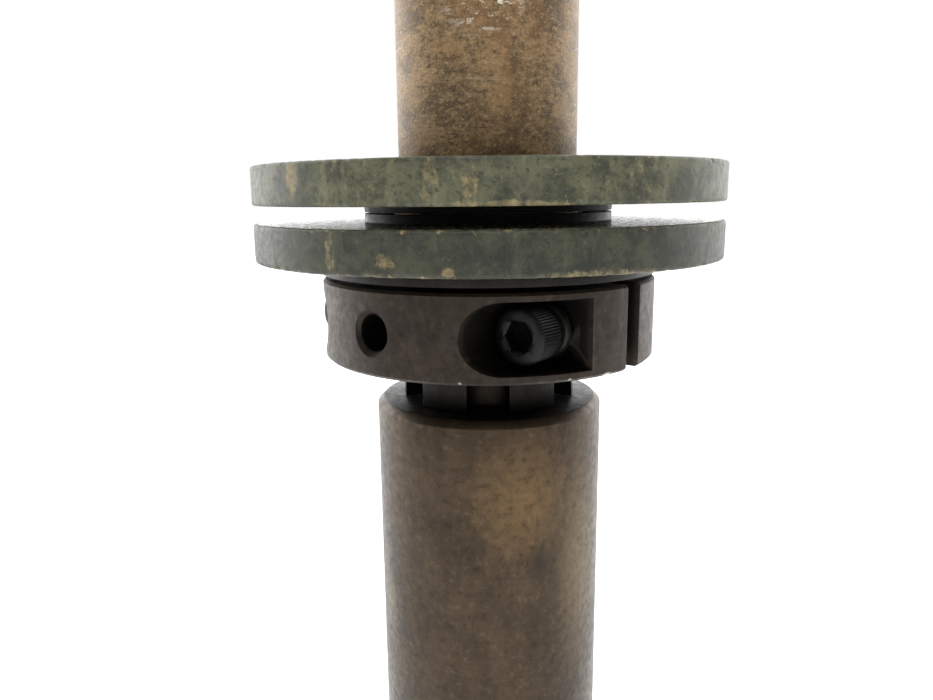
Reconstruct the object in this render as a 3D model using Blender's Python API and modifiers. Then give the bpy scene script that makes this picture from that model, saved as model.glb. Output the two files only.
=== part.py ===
"""Oldham coupling between two shafts, with a two-piece clamp collar on its output hub.

Metres, +Z up along the common shaft axis. The origin is the centre of the output shaft's
lower end face. The collar's split plane is the XZ plane: both clamp screws run along +Y
with their heads towards -Y. Sizes below are in millimetres and are scaled by MM.
"""
import math

import bmesh
import bpy
from mathutils import Matrix, Vector

MM = 0.001
GAP = 0.3                      # working gap left between pieces that touch

# facets round a turn, by size of piece
SEG_LARGE = 96
SEG_MEDIUM = 72
SEG_SCREW = 32
SEG_SMALL = 20

# output shaft: a stepped shaft, with a journal that goes up into the hub's sleeve
SHAFT_OUT_R = 22.85
SHAFT_OUT_EDGE_Z = 80.0
SHAFT_OUT_CHAMFER = 1.3
SHOULDER_Z = SHAFT_OUT_EDGE_Z + SHAFT_OUT_CHAMFER
JOURNAL_R = 12.5
JOURNAL_TOP_Z = 106.4
JOURNAL_CHAMFER = 1.0
END_CHAMFER = 1.0

# slotted sleeve of the output hub
SLEEVE_R = 17.3
SLEEVE_BORE_R = JOURNAL_R + GAP
SLEEVE_BOTTOM_Z = SHOULDER_Z + GAP
SLEEVE_BORE_TOP_Z = 107.0
SLOT_COUNT = 6
SLOT_WIDTH = 8.0
SLOT_TOP_Z = 103.5
SLOT_TURN = math.radians(38.0)     # turn of the first slot from the collar's middle hole

# clamp collar
COLLAR_R = 32.7
COLLAR_BORE_R = SLEEVE_R + GAP
COLLAR_BOTTOM_Z = 90.55
COLLAR_TOP_Z = 105.85
COLLAR_MID_Z = (COLLAR_BOTTOM_Z + COLLAR_TOP_Z) / 2.0
COLLAR_CHAMFER = 0.6
SLIT_HALF = 2.15
POCKET_R = 6.2
SEAT_Y = 10.7
SCREW_X = 22.3
TOMMY_HOLE_R = 3.3
TOMMY_MOUTH_R = 4.2
TOMMY_MOUTH_DEPTH = 1.0

# M6 socket head cap screws and their washers
SCREW_R = 3.0
SCREW_HEAD_R = 5.0
SCREW_HEAD_H = 6.0
SCREW_LENGTH = 25.0
SCREW_HOLE_R = SCREW_R + GAP
SCREW_SOCKET_AF = 5.0
SCREW_SOCKET_DEPTH = 3.0
SCREW_EDGE = 0.5
WASHER_R = 4.95
WASHER_BORE_R = 3.3
WASHER_T = 1.6
WASHER_LIFT = 0.9              # the washers hang on the slack screws, off their seats
WASHER_Y = SEAT_Y + WASHER_LIFT
HEAD_SLACK = 1.2               # the heads stand off their washers
HEAD_Y = WASHER_Y + WASHER_T + HEAD_SLACK

# hubs and the green flange rings
RING_R = 32.7
RING_BOTTOM_Z = 106.75
FLANGE_R = 45.0
FLANGE_T = 7.0
FLANGE_EDGE = 0.5
FLANGE_OUT_BOTTOM_Z = 109.5
FLANGE_IN_BOTTOM_Z = 119.8
BOSS_R = 24.25
BOSS_OUT_TOP_Z = 118.0
BOSS_IN_BOTTOM_Z = BOSS_OUT_TOP_Z + GAP
MID_Z = (BOSS_OUT_TOP_Z + BOSS_IN_BOTTOM_Z) / 2.0
FLANGE_BORE_R = BOSS_R + GAP
RING_TOP_Z = FLANGE_OUT_BOTTOM_Z - GAP

# floating disc and the hollows that take it
DISC_R = 18.5
DISC_T = 3.7
DISC_HOLE_R = 5.0
TONGUE_W = 11.7
TONGUE_HALF_L = 17.5
TONGUE_H = 3.2
RECESS_R = 20.5
RECESS_HALF_T = DISC_T / 2.0 + GAP
KEYWAY_W = 12.0
KEYWAY_HALF_L = 20.0
KEYWAY_HALF_T = DISC_T / 2.0 + TONGUE_H + GAP

# input shaft, seated in a shallow register and bolted through its end
SHAFT_IN_R = 17.3
SHAFT_IN_TOP_Z = 173.7
REGISTER_Z = 125.3
REGISTER_R = SHAFT_IN_R + GAP
SHAFT_IN_BOTTOM_Z = REGISTER_Z + GAP
HUB_SCREW_PITCH_R = 13.0
HUB_SCREW_ANGLES = (52.0, 128.0, 232.0, 308.0)
HUB_HOLE_TOP_Z = 134.0
DOWEL_R = 2.5
DOWEL_PITCH_R = 13.0
DOWEL_BOTTOM_Z = 120.9
DOWEL_TOP_Z = 131.0
PIN_EDGE = 0.4
DOWEL_HOLE_R = DOWEL_R + 0.15
DOWEL_HOLE_TOP_Z = 131.8

# screws that hold the output flange on the shoulder ring, from below
FLANGE_SCREW_PITCH_R = 28.5
FLANGE_SCREW_ANGLES = (45.0, 135.0, 225.0, 315.0)
FLANGE_SCREW_Z = RING_BOTTOM_Z + 0.1
FLANGE_HOLE_TOP_Z = 115.5

# pins that lock the input flange on its core, half in each
FLANGE_PIN_R = 2.0
FLANGE_PIN_HOLE_R = FLANGE_PIN_R + GAP
FLANGE_PIN_PITCH_R = BOSS_R + GAP / 2.0
FLANGE_PIN_BOTTOM_Z = 121.5
FLANGE_PIN_TOP_Z = 126.6

# countersunk screws: shank radius, head radius, head height, length, key size, key depth
M4 = {"r": 2.0, "head_r": 3.75, "head_h": 2.2, "length": 12.0, "key": 2.5, "key_depth": 1.3}
M3 = {"r": 1.5, "head_r": 2.75, "head_h": 1.7, "length": 8.0, "key": 2.0, "key_depth": 1.0}
SINK_CLEARANCE = 0.35

CUT_OVER = 5.0                 # how far a cutter runs past the face it opens

# colour, roughness, metallic of each material
LOOKS = {
    "rusted_steel": ((0.22, 0.13, 0.08), 0.75, 0.35),
    "green_paint": ((0.13, 0.15, 0.10), 0.6, 0.0),
    "black_steel": ((0.02, 0.02, 0.022), 0.5, 0.6),
    "brown_steel": ((0.14, 0.10, 0.08), 0.5, 0.8),
    "worn_shaft_steel": ((0.17, 0.13, 0.10), 0.5, 0.8),
    "black_screw": ((0.015, 0.015, 0.017), 0.4, 0.7),
    "zinc_washer": ((0.06, 0.06, 0.065), 0.4, 0.9),
    "bronze": ((0.40, 0.27, 0.12), 0.4, 0.9),
    "bright_steel": ((0.45, 0.45, 0.46), 0.3, 1.0),
}


def clear_scene():
    """Remove every object that is already there."""
    for ob in list(bpy.data.objects):
        bpy.data.objects.remove(ob, do_unlink=True)


def make_collection(name):
    """Add a collection to the scene."""
    coll = bpy.data.collections.new(name)
    bpy.context.scene.collection.children.link(coll)
    return coll


def make_material(name):
    """One Principled material from the LOOKS table."""
    colour, roughness, metallic = LOOKS[name]
    mat = bpy.data.materials.get(name) or bpy.data.materials.new(name)
    mat.use_nodes = True
    shader = mat.node_tree.nodes["Principled BSDF"]
    shader.inputs["Base Color"].default_value = (*colour, 1.0)
    shader.inputs["Roughness"].default_value = roughness
    shader.inputs["Metallic"].default_value = metallic
    mat.diffuse_color = (*colour, 1.0)
    return mat


def add_object(name, mesh, look, location=(0.0, 0.0, 0.0), rotation=(0.0, 0.0, 0.0)):
    """Put a mesh in the parts collection under its node name."""
    ob = bpy.data.objects.new(name, mesh)
    PARTS.objects.link(ob)
    ob.location = Vector(location) * MM
    ob.rotation_euler = rotation
    mesh.materials.append(make_material(look))
    return ob


def turned_mesh(name, profile, closed):
    """A profile of (radius, height) pairs, drawn in the XZ plane."""
    mesh = bpy.data.meshes.new(name)
    verts = [(radius * MM, 0.0, height * MM) for radius, height in profile]
    edges = [(i, i + 1) for i in range(len(profile) - 1)]
    if closed:
        edges.append((len(profile) - 1, 0))
    mesh.from_pydata(verts, edges, [])
    return mesh


def spin(ob, segments):
    """Turn the object's profile a full circle about its own Z axis."""
    screw = ob.modifiers.new("turn", "SCREW")
    screw.axis = "Z"
    screw.angle = 2.0 * math.pi
    screw.steps = segments
    screw.render_steps = segments
    screw.use_merge_vertices = True
    screw.merge_threshold = 0.00001
    screw.use_smooth_shade = True


def turned(name, profile, segments, look, closed=False, location=(0, 0, 0), rotation=(0, 0, 0)):
    """A turned piece: the profile runs down its outer side from the top."""
    ob = add_object(name, turned_mesh(name, profile, closed), look, location, rotation)
    spin(ob, segments)
    return ob


def as_cutter(name, mesh, location, rotation):
    """A tool solid that is never drawn itself."""
    ob = bpy.data.objects.new(name, mesh)
    CUTTERS.objects.link(ob)
    ob.location = Vector(location) * MM
    ob.rotation_euler = rotation
    ob.hide_render = True
    ob.display_type = "WIRE"
    return ob


def box_tool(name, low, high, turn=0.0):
    """A box between two corners, turned about the shaft axis."""
    low = Vector(low)
    high = Vector(high)
    bm = bmesh.new()
    size = (high - low) * MM
    centre = (high + low) * 0.5 * MM
    place = Matrix.Translation(centre) @ Matrix.Diagonal((*size, 1.0))
    bmesh.ops.create_cube(bm, size=1.0, matrix=place)
    mesh = bpy.data.meshes.new(name)
    bm.to_mesh(mesh)
    bm.free()
    return as_cutter(name, mesh, (0, 0, 0), (0, 0, turn))


def round_tool(name, radius, length, location, rotation=(0, 0, 0), far_radius=None, sides=SEG_SCREW):
    """A cylinder or cone that starts at location and runs along its own +Z."""
    bm = bmesh.new()
    bmesh.ops.create_cone(
        bm,
        cap_ends=True,
        segments=sides,
        radius1=radius * MM,
        radius2=(radius if far_radius is None else far_radius) * MM,
        depth=length * MM,
        matrix=Matrix.Translation((0, 0, length * MM / 2.0)),
    )
    mesh = bpy.data.meshes.new(name)
    bm.to_mesh(mesh)
    bm.free()
    return as_cutter(name, mesh, location, rotation)


def hex_tool(name, across_flats, depth, location, rotation=(0, 0, 0)):
    """A six-sided key socket."""
    corner = across_flats / 2.0 / math.cos(math.pi / 6.0)
    return round_tool(name, corner, depth, location, rotation, sides=6)


def combine(ob, tool, operation="DIFFERENCE"):
    """Cut the tool from the object, or join it on."""
    step = ob.modifiers.new(tool.name, "BOOLEAN")
    step.object = tool
    step.operation = operation
    step.solver = "EXACT"


# rotations that point a tool's own +Z axis along a world axis
TO_PLUS_Y = (-math.pi / 2.0, 0.0, 0.0)
TO_MINUS_Y = (math.pi / 2.0, 0.0, 0.0)
TO_MINUS_Z = (math.pi, 0.0, 0.0)


def build_output_shaft():
    """Stepped shaft: a thick body, a chamfered shoulder and a thin journal."""
    profile = [
        (0.0, JOURNAL_TOP_Z),
        (JOURNAL_R - JOURNAL_CHAMFER, JOURNAL_TOP_Z),
        (JOURNAL_R, JOURNAL_TOP_Z - JOURNAL_CHAMFER),
        (JOURNAL_R, SHOULDER_Z),
        (SHAFT_OUT_R - SHAFT_OUT_CHAMFER, SHOULDER_Z),
        (SHAFT_OUT_R, SHAFT_OUT_EDGE_Z),
        (SHAFT_OUT_R, END_CHAMFER),
        (SHAFT_OUT_R - END_CHAMFER, 0.0),
        (0.0, 0.0),
    ]
    turned("output_shaft", profile, SEG_MEDIUM, "worn_shaft_steel")


def build_output_hub():
    """Boss, shoulder ring and slotted sleeve in one piece, with the lower keyway along Y."""
    profile = [
        (RECESS_R, BOSS_OUT_TOP_Z),
        (BOSS_R, BOSS_OUT_TOP_Z),
        (BOSS_R, RING_TOP_Z),
        (RING_R, RING_TOP_Z),
        (RING_R, RING_BOTTOM_Z),
        (SLEEVE_R, RING_BOTTOM_Z),
        (SLEEVE_R, SLEEVE_BOTTOM_Z),
        (SLEEVE_BORE_R, SLEEVE_BOTTOM_Z),
        (SLEEVE_BORE_R, SLEEVE_BORE_TOP_Z),
        (0.0, SLEEVE_BORE_TOP_Z),
    ]
    floor_z = MID_Z - RECESS_HALF_T
    profile = [(0.0, floor_z), (RECESS_R, floor_z)] + profile
    hub = turned("output_hub", profile, SEG_MEDIUM, "brown_steel")
    keyway = box_tool(
        "output_hub_keyway",
        (-KEYWAY_W / 2.0, -KEYWAY_HALF_L, MID_Z - KEYWAY_HALF_T),
        (KEYWAY_W / 2.0, KEYWAY_HALF_L, BOSS_OUT_TOP_Z + CUT_OVER),
    )
    combine(hub, keyway)
    for i in range(SLOT_COUNT):
        slot = box_tool(
            f"sleeve_slot_{i + 1}",
            (-SLOT_WIDTH / 2.0, -SLEEVE_R - CUT_OVER, SLEEVE_BOTTOM_Z - CUT_OVER),
            (SLOT_WIDTH / 2.0, -SLEEVE_BORE_R / 2.0, SLOT_TOP_Z),
            turn=SLOT_TURN + i * 2.0 * math.pi / SLOT_COUNT,
        )
        combine(hub, slot)
    for i, (x, y) in enumerate(flange_screw_places()):
        cut_countersink(hub, f"ring_screw_{i + 1}", M3, x, y, RING_BOTTOM_Z, FLANGE_SCREW_Z)


def build_flange(name, bottom_z):
    """A flat ring with lightly broken edges, shrunk on to a hub."""
    top_z = bottom_z + FLANGE_T
    profile = [
        (FLANGE_BORE_R, top_z),
        (FLANGE_R - FLANGE_EDGE, top_z),
        (FLANGE_R, top_z - FLANGE_EDGE),
        (FLANGE_R, bottom_z + FLANGE_EDGE),
        (FLANGE_R - FLANGE_EDGE, bottom_z),
        (FLANGE_BORE_R, bottom_z),
    ]
    return turned(name, profile, SEG_LARGE, "green_paint", closed=True)


def build_output_flange():
    """Lower green ring, tapped from below for the shoulder ring's screws."""
    flange = build_flange("output_flange", FLANGE_OUT_BOTTOM_Z)
    start_z = FLANGE_OUT_BOTTOM_Z - CUT_OVER
    depth = FLANGE_HOLE_TOP_Z - start_z
    for i, (x, y) in enumerate(flange_screw_places()):
        tapping = round_tool(f"flange_tapping_{i + 1}", M3["r"] + GAP, depth, (x, y, start_z))
        combine(flange, tapping)


def build_input_flange():
    """Upper green ring, locked on its core by two axial pins."""
    cut_pin_holes(build_flange("input_flange", FLANGE_IN_BOTTOM_Z))


def build_floating_disc():
    """Disc with a tongue along X above and a tongue along Y below, at right angles."""
    half_t = DISC_T / 2.0
    profile = [
        (0.0, half_t),
        (DISC_R, half_t),
        (DISC_R, -half_t),
        (0.0, -half_t),
    ]
    disc = turned("floating_disc", profile, SEG_MEDIUM, "bronze", location=(0, 0, MID_Z))
    upper = box_tool(
        "disc_upper_tongue",
        (-TONGUE_HALF_L, -TONGUE_W / 2.0, MID_Z),
        (TONGUE_HALF_L, TONGUE_W / 2.0, MID_Z + half_t + TONGUE_H),
    )
    lower = box_tool(
        "disc_lower_tongue",
        (-TONGUE_W / 2.0, -TONGUE_HALF_L, MID_Z - half_t - TONGUE_H),
        (TONGUE_W / 2.0, TONGUE_HALF_L, MID_Z),
    )
    hole_start = MID_Z - half_t - TONGUE_H - CUT_OVER
    hole_length = 2.0 * (half_t + TONGUE_H + CUT_OVER)
    hole = round_tool("disc_hole", DISC_HOLE_R, hole_length, (0, 0, hole_start))
    combine(disc, upper, "UNION")
    combine(disc, lower, "UNION")
    combine(disc, hole)


def places_on_circle(radius, angles):
    """Points on a circle about the shaft axis, for angles in degrees."""
    turns = [math.radians(angle) for angle in angles]
    return [(radius * math.cos(turn), radius * math.sin(turn)) for turn in turns]


def hub_screw_places():
    """Centres of the four screws in the input hub, clear of its keyway along X."""
    return places_on_circle(HUB_SCREW_PITCH_R, HUB_SCREW_ANGLES)


def flange_screw_places():
    """Centres of the four screws in the shoulder ring."""
    return places_on_circle(FLANGE_SCREW_PITCH_R, FLANGE_SCREW_ANGLES)


def cut_countersink(ob, name, size, x, y, face_z, head_z):
    """A clearance hole with a cone that follows the screw's head, opening downwards."""
    hole_r = size["r"] + GAP
    taper = (size["head_r"] - size["r"]) / size["head_h"]
    start_z = face_z - GAP
    mouth_r = size["head_r"] + SINK_CLEARANCE + (head_z - start_z) * taper
    depth = (mouth_r - hole_r) / taper
    start = (x, y, start_z)
    combine(ob, round_tool(f"{name}_sink", mouth_r, depth, start, far_radius=hole_r))
    below = (x, y, face_z - CUT_OVER)
    combine(ob, round_tool(f"{name}_hole", hole_r, 3.0 * CUT_OVER, below))


def build_countersunk(name, size, x, y, head_z):
    """A countersunk screw that points up, its flat head face down at head_z."""
    profile = [
        (0.0, 0.0),
        (size["head_r"], 0.0),
        (size["r"], -size["head_h"]),
        (size["r"], -size["length"]),
        (0.0, -size["length"]),
    ]
    place = (x, y, head_z)
    screw = turned(name, profile, SEG_SMALL, "black_screw", location=place, rotation=TO_MINUS_Z)
    mouth = (x, y, head_z - CUT_OVER)
    depth = CUT_OVER + size["key_depth"]
    combine(screw, hex_tool(f"{name}_socket", size["key"], depth, mouth))


def cut_pin_holes(ob):
    """Two axial holes on the joint between the input hub's core and its flange."""
    for side in (-1.0, 1.0):
        place = (0.0, side * FLANGE_PIN_PITCH_R, FLANGE_PIN_BOTTOM_Z - GAP)
        tag = f"{ob.name}_pin_hole_{int(side)}"
        combine(ob, round_tool(tag, FLANGE_PIN_HOLE_R, 3.0 * CUT_OVER, place))


def build_input_hub():
    """Core of the input half, with the upper keyway along X and a register for the shaft."""
    top_z = FLANGE_IN_BOTTOM_Z + FLANGE_T
    roof_z = MID_Z + RECESS_HALF_T
    profile = [
        (0.0, REGISTER_Z),
        (REGISTER_R, REGISTER_Z),
        (REGISTER_R, top_z),
        (BOSS_R, top_z),
        (BOSS_R, BOSS_IN_BOTTOM_Z),
        (RECESS_R, BOSS_IN_BOTTOM_Z),
        (RECESS_R, roof_z),
        (0.0, roof_z),
    ]
    hub = turned("input_hub", profile, SEG_MEDIUM, "black_steel")
    keyway = box_tool(
        "input_hub_keyway",
        (-KEYWAY_HALF_L, -KEYWAY_W / 2.0, BOSS_IN_BOTTOM_Z - CUT_OVER),
        (KEYWAY_HALF_L, KEYWAY_W / 2.0, MID_Z + KEYWAY_HALF_T),
    )
    combine(hub, keyway)
    for i, (x, y) in enumerate(hub_screw_places()):
        cut_countersink(hub, f"hub_screw_{i + 1}", M4, x, y, roof_z, roof_z + GAP)
    for side in (-1.0, 1.0):
        start = (0.0, side * DOWEL_PITCH_R, roof_z - CUT_OVER)
        hole = round_tool(f"hub_dowel_hole_{int(side)}", DOWEL_HOLE_R, 3.0 * CUT_OVER, start)
        combine(hub, hole)
    cut_pin_holes(hub)


def build_input_shaft():
    """Plain round shaft with tapped and reamed holes in its lower end."""
    profile = [
        (0.0, SHAFT_IN_TOP_Z),
        (SHAFT_IN_R - END_CHAMFER, SHAFT_IN_TOP_Z),
        (SHAFT_IN_R, SHAFT_IN_TOP_Z - END_CHAMFER),
        (SHAFT_IN_R, SHAFT_IN_BOTTOM_Z),
        (0.0, SHAFT_IN_BOTTOM_Z),
    ]
    shaft = turned("input_shaft", profile, SEG_MEDIUM, "rusted_steel")
    start_z = SHAFT_IN_BOTTOM_Z - CUT_OVER
    for i, (x, y) in enumerate(hub_screw_places()):
        depth = HUB_HOLE_TOP_Z - start_z
        tapping = round_tool(f"shaft_tapping_{i + 1}", M4["r"] + GAP, depth, (x, y, start_z))
        combine(shaft, tapping)
    for side in (-1.0, 1.0):
        depth = DOWEL_HOLE_TOP_Z - start_z
        place = (0.0, side * DOWEL_PITCH_R, start_z)
        combine(shaft, round_tool(f"shaft_reaming_{int(side)}", DOWEL_HOLE_R, depth, place))


def build_hub_screws():
    """Countersunk screws that hold the input shaft's end against its hub."""
    head_z = MID_Z + RECESS_HALF_T + GAP
    for i, (x, y) in enumerate(hub_screw_places()):
        build_countersunk(f"hub_screw_{i + 1}", M4, x, y, head_z)


def build_flange_screws():
    """Countersunk screws that hold the output flange down on the shoulder ring."""
    for i, (x, y) in enumerate(flange_screw_places()):
        build_countersunk(f"flange_screw_{i + 1}", M3, x, y, FLANGE_SCREW_Z)


def build_pin(name, radius, y, bottom_z, top_z):
    """A plain pin parallel to the shaft axis, with lightly chamfered ends."""
    profile = [
        (0.0, top_z),
        (radius - PIN_EDGE, top_z),
        (radius, top_z - PIN_EDGE),
        (radius, bottom_z + PIN_EDGE),
        (radius - PIN_EDGE, bottom_z),
        (0.0, bottom_z),
    ]
    turned(name, profile, SEG_SMALL, "bright_steel", location=(0.0, y, 0.0))


def build_pins():
    """Dowels that carry the shaft's torque, and pins that lock the input flange."""
    for tag, side in (("front", -1.0), ("rear", 1.0)):
        dowel_y = side * DOWEL_PITCH_R
        build_pin(f"dowel_{tag}", DOWEL_R, dowel_y, DOWEL_BOTTOM_Z, DOWEL_TOP_Z)
        pin_y = side * FLANGE_PIN_PITCH_R
        build_pin(f"flange_pin_{tag}", FLANGE_PIN_R, pin_y, FLANGE_PIN_BOTTOM_Z, FLANGE_PIN_TOP_Z)


def collar_ring(name):
    """The whole collar, before it is split."""
    profile = [
        (COLLAR_BORE_R, COLLAR_TOP_Z),
        (COLLAR_R - COLLAR_CHAMFER, COLLAR_TOP_Z),
        (COLLAR_R, COLLAR_TOP_Z - COLLAR_CHAMFER),
        (COLLAR_R, COLLAR_BOTTOM_Z + COLLAR_CHAMFER),
        (COLLAR_R - COLLAR_CHAMFER, COLLAR_BOTTOM_Z),
        (COLLAR_BORE_R, COLLAR_BOTTOM_Z),
    ]
    return turned(name, profile, SEG_LARGE, "brown_steel", closed=True)


def split_box(name, low_y, high_y):
    """The half of space that a collar half loses."""
    reach = COLLAR_R + CUT_OVER
    return box_tool(
        name,
        (-reach, low_y, COLLAR_BOTTOM_Z - CUT_OVER),
        (reach, high_y, COLLAR_TOP_Z + CUT_OVER),
    )


def build_collar_front():
    """Front half: screw pockets open to the outside, and the radial hole in its middle."""
    reach = COLLAR_R + CUT_OVER
    half = collar_ring("collar_front_half")
    combine(half, split_box("front_half_split", -SLIT_HALF, reach))
    for side in (-1.0, 1.0):
        x = side * SCREW_X
        tag = "right" if side > 0 else "left"
        spot = round_tool(
            f"pocket_floor_{tag}", POCKET_R, reach - SEAT_Y, (x, -SEAT_Y, COLLAR_MID_Z), TO_MINUS_Y
        )
        outer = side * reach
        wall = box_tool(
            f"pocket_mouth_{tag}",
            (min(x, outer), -reach, COLLAR_MID_Z - POCKET_R),
            (max(x, outer), -SEAT_Y, COLLAR_MID_Z + POCKET_R),
        )
        hole = round_tool(
            f"screw_way_front_{tag}", SCREW_HOLE_R, reach, (x, 0.0, COLLAR_MID_Z), TO_MINUS_Y
        )
        combine(half, spot)
        combine(half, wall)
        combine(half, hole)
    combine(half, round_tool("tommy_hole", TOMMY_HOLE_R, reach, (0, 0, COLLAR_MID_Z), TO_MINUS_Y))
    mouth_y = -(COLLAR_R - TOMMY_MOUTH_DEPTH)
    combine(half, round_tool(
        "tommy_mouth",
        TOMMY_HOLE_R,
        2.0 * TOMMY_MOUTH_DEPTH,
        (0, mouth_y, COLLAR_MID_Z),
        TO_MINUS_Y,
        far_radius=2.0 * TOMMY_MOUTH_R - TOMMY_HOLE_R,
    ))


def build_collar_rear():
    """Rear half: two tapped holes that run right through."""
    reach = COLLAR_R + CUT_OVER
    half = collar_ring("collar_rear_half")
    combine(half, split_box("rear_half_split", -reach, SLIT_HALF))
    for side in (-1.0, 1.0):
        tag = "right" if side > 0 else "left"
        place = (side * SCREW_X, 0.0, COLLAR_MID_Z)
        combine(half, round_tool(f"screw_way_rear_{tag}", SCREW_HOLE_R, reach, place, TO_PLUS_Y))


def build_clamp_screws():
    """Socket head cap screws, each with its own washer under the head."""
    screw_profile = [
        (0.0, SCREW_HEAD_H),
        (SCREW_HEAD_R - SCREW_EDGE, SCREW_HEAD_H),
        (SCREW_HEAD_R, SCREW_HEAD_H - SCREW_EDGE),
        (SCREW_HEAD_R, 0.0),
        (SCREW_R, 0.0),
        (SCREW_R, -SCREW_LENGTH + SCREW_EDGE),
        (SCREW_R - SCREW_EDGE, -SCREW_LENGTH),
        (0.0, -SCREW_LENGTH),
    ]
    washer_profile = [
        (WASHER_BORE_R, WASHER_T),
        (WASHER_R, WASHER_T),
        (WASHER_R, 0.0),
        (WASHER_BORE_R, 0.0),
    ]
    for tag, side in (("right", 1.0), ("left", -1.0)):
        x = side * SCREW_X
        seat = (x, -HEAD_Y, COLLAR_MID_Z)
        name = f"clamp_screw_{tag}"
        screw = turned(
            name, screw_profile, SEG_SCREW, "black_screw", location=seat, rotation=TO_MINUS_Y
        )
        mouth = (x, -HEAD_Y - SCREW_HEAD_H - CUT_OVER, COLLAR_MID_Z)
        depth = CUT_OVER + SCREW_SOCKET_DEPTH
        combine(screw, hex_tool(f"{name}_socket", SCREW_SOCKET_AF, depth, mouth, TO_PLUS_Y))
        turned(
            f"clamp_washer_{tag}",
            washer_profile,
            SEG_SCREW,
            "zinc_washer",
            closed=True,
            location=(x, -WASHER_Y, COLLAR_MID_Z),
            rotation=TO_MINUS_Y,
        )


clear_scene()
PARTS = make_collection("oldham_coupling")
CUTTERS = make_collection("cutters")

build_output_shaft()
build_output_hub()
build_output_flange()
build_floating_disc()
build_input_hub()
build_input_flange()
build_input_shaft()
build_hub_screws()
build_flange_screws()
build_pins()
build_collar_front()
build_collar_rear()
build_clamp_screws()
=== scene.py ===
"""Finished look of the oldham coupling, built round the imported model.

Metres throughout. The shaft axis is Z, and the clamp screws run along +Y from their heads.
"""
import math

import bpy
from mathutils import Matrix, Vector, noise


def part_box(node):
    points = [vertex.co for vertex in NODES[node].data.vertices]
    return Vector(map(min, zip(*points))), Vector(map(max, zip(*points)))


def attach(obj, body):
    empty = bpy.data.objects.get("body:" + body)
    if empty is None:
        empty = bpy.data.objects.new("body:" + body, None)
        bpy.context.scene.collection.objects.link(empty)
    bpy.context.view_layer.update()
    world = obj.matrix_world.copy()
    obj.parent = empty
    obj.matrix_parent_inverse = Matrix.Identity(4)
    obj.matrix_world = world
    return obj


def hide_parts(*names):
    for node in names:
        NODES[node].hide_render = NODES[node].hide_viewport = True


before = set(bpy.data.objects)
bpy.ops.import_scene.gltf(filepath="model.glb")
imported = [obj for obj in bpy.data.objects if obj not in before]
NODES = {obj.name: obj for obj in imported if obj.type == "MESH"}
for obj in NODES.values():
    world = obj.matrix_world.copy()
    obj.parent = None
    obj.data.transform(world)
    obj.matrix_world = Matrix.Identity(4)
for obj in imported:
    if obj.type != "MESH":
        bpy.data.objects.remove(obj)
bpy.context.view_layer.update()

MM = 0.001


# ---------------------------------------------------------------- sizes from the CAD nodes
def outer_radius(node):
    """Radius of a turned node about the shaft axis."""
    low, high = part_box(node)
    return max(high[0], -low[0], high[1], -low[1])


def span_z(node):
    """Lower and upper height of a node."""
    low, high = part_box(node)
    return low[2], high[2]


SHAFT_OUT_R = outer_radius("output_shaft")
JOURNAL_TOP = span_z("output_shaft")[1]
SLEEVE_BOTTOM, BOSS_OUT_TOP = span_z("output_hub")
RING_R = outer_radius("output_hub")
COLLAR_R = outer_radius("collar_front_half")
COLLAR_LOW, COLLAR_TOP = span_z("collar_front_half")
COLLAR_MID = (COLLAR_LOW + COLLAR_TOP) / 2
SLIT_HALF = -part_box("collar_front_half")[1][1]
FLANGE_R = outer_radius("output_flange")
FLANGE_OUT = span_z("output_flange")
FLANGE_IN = span_z("input_flange")
BOSS_R = outer_radius("input_hub")
BOSS_IN_LOW = span_z("input_hub")[0]
SHAFT_IN_R = outer_radius("input_shaft")
SHAFT_IN = span_z("input_shaft")
DISC_LOW, DISC_TOP = span_z("floating_disc")
DISC_MID = (DISC_LOW + DISC_TOP) / 2

JOURNAL_R = 12.5 * MM
SHOULDER_Z = SLEEVE_BOTTOM - 0.3 * MM
SLEEVE_R = 17.3 * MM
SLEEVE_BORE_R = 12.8 * MM
SLEEVE_BORE_TOP = 107.0 * MM
SLOT_WIDTH = 8.0 * MM
SLOT_TOP = 103.5 * MM
SLOT_TURN = math.radians(38)
SLOT_COUNT = 6
RING_LOW = 106.75 * MM
RECESS_R = 20.5 * MM
RECESS_DEPTH = 2.15 * MM
KEYWAY_HALF_W = 6.0 * MM
KEYWAY_HALF_L = 20.0 * MM
KEYWAY_DEPTH = 5.35 * MM
REGISTER_Z = 125.3 * MM
POCKET_R = 6.2 * MM
SEAT_Y = 10.7 * MM
SCREW_X = 22.3 * MM
SCREW_HOLE_R = 3.3 * MM
TOMMY_R = 3.3 * MM
TOMMY_MOUTH_R = 4.2 * MM
FINE_GAP = 0.04 * MM
PIN_END_GAP = 0.3 * MM
PIN_SIDES = 48
SINK_MOUTH_R = 4.2 * MM
SINK_FOOT_R = 2.2 * MM
HUB_SCREW_WAY_R = 2.25 * MM
HUB_SCREWS = tuple(f"hub_screw_{number}" for number in range(1, 5))
FLANGE_SCREWS = tuple(f"flange_screw_{number}" for number in range(1, 5))
DOWELS = ("dowel_front", "dowel_rear")
FLANGE_PINS = ("flange_pin_front", "flange_pin_rear")


# ---------------------------------------------------------------- working by hand
def nothing_selected():
    """Leave edit mode and let go of everything."""
    if bpy.context.object and bpy.context.object.mode != "OBJECT":
        bpy.ops.object.mode_set(mode="OBJECT")
    bpy.ops.object.select_all(action="DESELECT")


def hold(ob):
    """Make one object the active and only selected one."""
    nothing_selected()
    ob.select_set(True)
    bpy.context.view_layer.objects.active = ob


def rest_in_place(ob):
    """Put the object's place, turn and size into its mesh."""
    hold(ob)
    bpy.ops.object.transform_apply(location=True, rotation=True, scale=True)


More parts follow.
